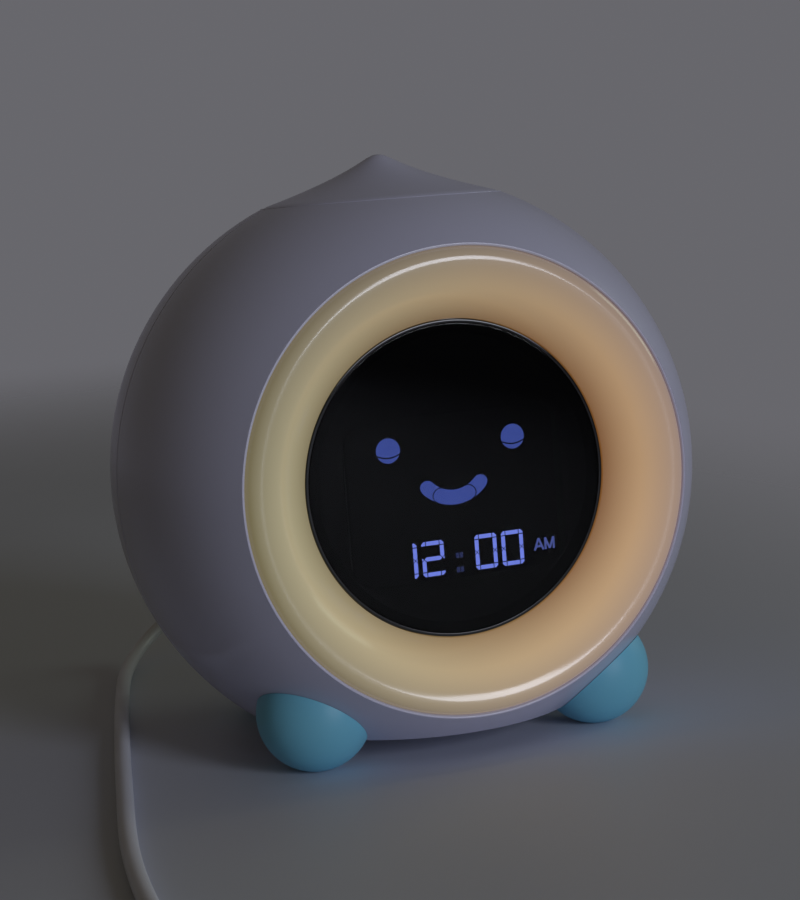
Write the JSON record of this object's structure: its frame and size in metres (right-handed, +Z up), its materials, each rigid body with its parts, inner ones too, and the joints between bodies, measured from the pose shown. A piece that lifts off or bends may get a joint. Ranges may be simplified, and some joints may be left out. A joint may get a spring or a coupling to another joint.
{
  "type": "kids alarm clock with night light",
  "caption": "Round desk alarm clock on ball feet with a translucent night-light ring round a dark recessed display, a pointed push cap, rear keys and a lead with a USB-A plug.",
  "frame": {"origin": "on the surface the clock stands on, under the middle of the clock without its cord", "axes": "+Z up, the display faces -Y, +X to the right of someone who looks at the display"},
  "size_m": [0.2333, 0.309, 0.1434],
  "materials": {
    "shell_white": "glossy moulded shell",
    "cap_white": "glossy moulded cap",
    "panel_white": "fine matt texture",
    "inner_white": "smooth, unpainted",
    "ring_cream": "translucent, glossy, warm light behind",
    "bezel_black": "glossy",
    "smoked_lens": "polished, smoked",
    "lcd_dark": "smooth glass",
    "guide_white": "milky",
    "board_green": "lacquered board",
    "component_black": "fine matt",
    "speaker_grey": "satin",
    "steel": "zinc plated",
    "contact_brass": "nickel-flashed brass",
    "cell_wrap": "printed wrap, plain",
    "button_white": "satin",
    "slider_grey": "satin",
    "foot_teal": "smooth satin",
    "cord_white": "soft vinyl"
  },
  "bodies": {
    "case": {"front_shell": "shell_white", "rear_shell": "shell_white", "case_screws": "steel", "top_deck": "inner_white", "deck_screws": "steel", "cap_spring": "steel", "cap_board": "board_green", "cap_switch": "component_black", "ring_diffuser": "ring_cream", "ring_reflector": "inner_white", "led_board": "board_green", "leds": "guide_white", "ring_screws": "steel", "display_bezel": "bezel_black", "display_lens": "smoked_lens", "lcd_glass": "lcd_dark", "lcd_backlight": "guide_white", "main_board": "board_green", "board_chips": "component_black", "display_screws": "steel", "rear_panel": "panel_white", "panel_screws": "steel", "speaker": "speaker_grey", "speaker_cone": "component_black", "control_board": "board_green", "tact_switches": "component_black", "lock_switch": "steel", "usb_socket": "steel", "battery_tray": "panel_white", "battery_door": "panel_white", "door_screw": "steel", "tray_screws": "steel", "battery_cells": "cell_wrap", "battery_contacts": "contact_brass", "front_left_foot": "foot_teal", "front_right_foot": "foot_teal", "rear_left_foot": "foot_teal", "rear_right_foot": "foot_teal", "foot_screws": "steel", "cord_connector": "steel", "connector_boot": "cord_white", "cord_run": "cord_white", "cord_coil": "cord_white", "cord_tail": "cord_white", "plug_boot": "cord_white", "plug_shell": "steel"},
    "cap": {"top_cap": "cap_white", "cap_washer": "steel"},
    "slider": {"lock_slider": "slider_grey"},
    "minus_key": {"minus_button": "button_white"},
    "set_key": {"set_button": "button_white"},
    "light_key": {"light_button": "button_white"},
    "alarm_key": {"alarm_button": "button_white"},
    "plus_key": {"plus_button": "button_white"}
  },
  "joints": [
    {"name": "cap_press", "type": "slide", "parent": "case", "child": "cap", "axis": [0, 0, -1], "range_m": [0, 0.0016], "stiffness_N_per_m": 400, "springref_m": -0.003, "deforming": ["cap_spring"]},
    {"name": "minus_press", "type": "slide", "parent": "case", "child": "minus_key", "axis": [0, -1, 0], "range_m": [0, 0.0008], "stiffness_N_per_m": 300, "springref_m": -0.002},
    {"name": "set_press", "type": "slide", "parent": "case", "child": "set_key", "axis": [0, -1, 0], "range_m": [0, 0.0008], "stiffness_N_per_m": 300, "springref_m": -0.002},
    {"name": "light_press", "type": "slide", "parent": "case", "child": "light_key", "axis": [0, -1, 0], "range_m": [0, 0.0008], "stiffness_N_per_m": 300, "springref_m": -0.002},
    {"name": "alarm_press", "type": "slide", "parent": "case", "child": "alarm_key", "axis": [0, -1, 0], "range_m": [0, 0.0008], "stiffness_N_per_m": 300, "springref_m": -0.002},
    {"name": "plus_press", "type": "slide", "parent": "case", "child": "plus_key", "axis": [0, -1, 0], "range_m": [0, 0.0008], "stiffness_N_per_m": 300, "springref_m": -0.002},
    {"name": "lock_slide", "type": "slide", "parent": "case", "child": "slider", "axis": [1, 0, 0], "range_m": [0, 0.003]}
  ]
}
